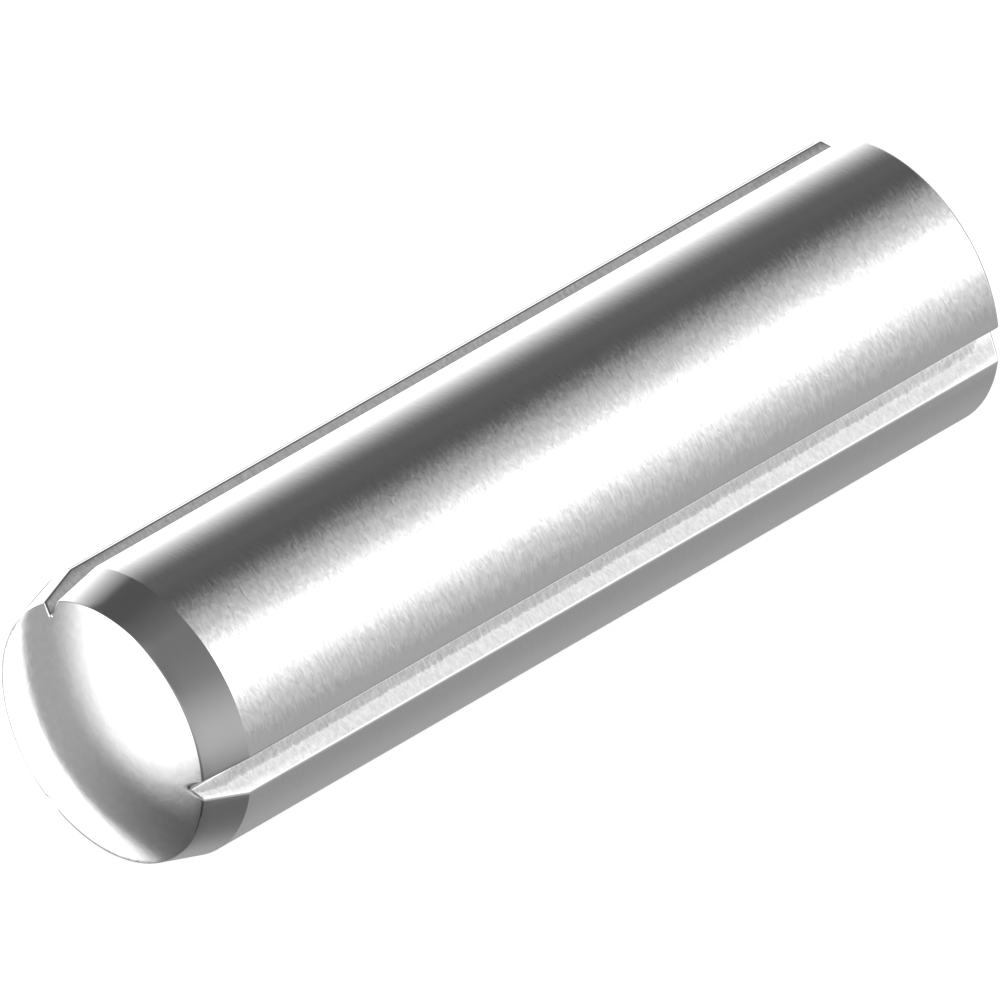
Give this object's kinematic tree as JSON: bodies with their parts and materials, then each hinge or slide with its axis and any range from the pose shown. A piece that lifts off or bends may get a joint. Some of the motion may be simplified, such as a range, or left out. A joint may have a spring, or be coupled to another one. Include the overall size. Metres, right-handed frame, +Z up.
{
  "type": "grooved pin",
  "caption": "Solid steel press-in pin with crowned ends, one chamfered end, and V grooves along its whole length.",
  "frame": {"origin": "on the pin's axis, halfway between the tips of its two crowned ends", "axes": "+X along the pin's axis from the chamfered lead end to the plain rear end; +Z up, with one groove facing straight down so that the pin lies on that groove's two lips"},
  "size_m": [0.03, 0.008, 0.008],
  "materials": {
    "steel": "fine ground stainless steel, bright, with a faint grain across the pin"
  },
  "bodies": {
    "root": {"grooved_pin": "steel"}
  },
  "joints": []
}
